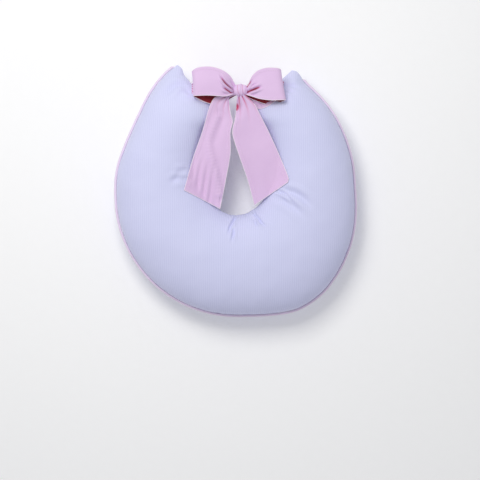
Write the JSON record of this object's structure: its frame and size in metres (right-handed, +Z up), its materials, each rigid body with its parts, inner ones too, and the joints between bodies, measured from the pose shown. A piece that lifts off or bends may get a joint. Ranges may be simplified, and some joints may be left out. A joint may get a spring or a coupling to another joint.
{
  "type": "nursing pillow",
  "caption": "C-shaped padded nursing pillow with a piped outer seam, a zipped removable cover and ribbon ties in a bow across its arm ends.",
  "frame": {"origin": "centre of the footprint of the pillow as it lies on its back panel, on the resting face", "axes": "+Z up out of the front panel, +Y towards the arm tips and the bow, +X to the wearer's right of the bow as it is seen from above"},
  "size_m": [0.522, 0.538, 0.148],
  "materials": {
    "cover_cotton": "white cotton with a fine ribbed weave, matt, slightly lavender in shade",
    "piping_cotton": "pale pink cotton bias strip",
    "cotton_cord": "soft cotton filler cord",
    "casing_cloth": "plain white ticking",
    "polyester_fibre": "loose white hollow fibre",
    "zip_tape": "woven white zip tape",
    "zip_coil": "white nylon coil",
    "zip_metal": "white lacquered zinc",
    "ribbon_cotton": "pink plain-weave cotton ribbon, pressed"
  },
  "bodies": {
    "pillow": {"cover_front_panel": "cover_cotton", "cover_back_panel": "cover_cotton", "piping_sleeve": "piping_cotton", "piping_cord": "cotton_cord", "inner_casing_front": "casing_cloth", "inner_casing_back": "casing_cloth", "fibre_fill": "polyester_fibre", "zip_tape_upper": "zip_tape", "zip_tape_lower": "zip_tape", "zip_coil_upper": "zip_coil", "zip_coil_lower": "zip_coil", "zip_top_stop": "zip_metal", "zip_bottom_stop": "zip_metal", "ribbon_strap_left": "ribbon_cotton", "ribbon_strap_right": "ribbon_cotton", "bow_loop_left": "ribbon_cotton", "bow_loop_right": "ribbon_cotton", "bow_knot": "ribbon_cotton"},
    "zip_slider": {"zip_slider": "zip_metal"},
    "zip_pull_tab": {"zip_pull_tab": "zip_metal"},
    "tail_left": {"bow_tail_left": "ribbon_cotton"},
    "tail_right": {"bow_tail_right": "ribbon_cotton"}
  },
  "joints": [
    {"name": "zip_travel", "type": "hinge", "parent": "pillow", "child": "zip_slider", "pos_m": [0, -0.008, 0.058], "axis": [0, 0, 1], "range_deg": [-69.5, 0]},
    {"name": "pull_tab_swing", "type": "hinge", "parent": "zip_slider", "child": "zip_pull_tab", "pos_m": [-0.03848, -0.26241, 0.058], "axis": [0, 0, 1], "range_deg": [0, 170]},
    {"name": "tail_left_lift", "type": "hinge", "parent": "pillow", "child": "tail_left", "pos_m": [0, 0.198, 0.1246], "axis": [-1, 0, 0], "range_deg": [0, 85]},
    {"name": "tail_right_lift", "type": "hinge", "parent": "pillow", "child": "tail_right", "pos_m": [0, 0.198, 0.1246], "axis": [-1, 0, 0], "range_deg": [0, 85]}
  ]
}
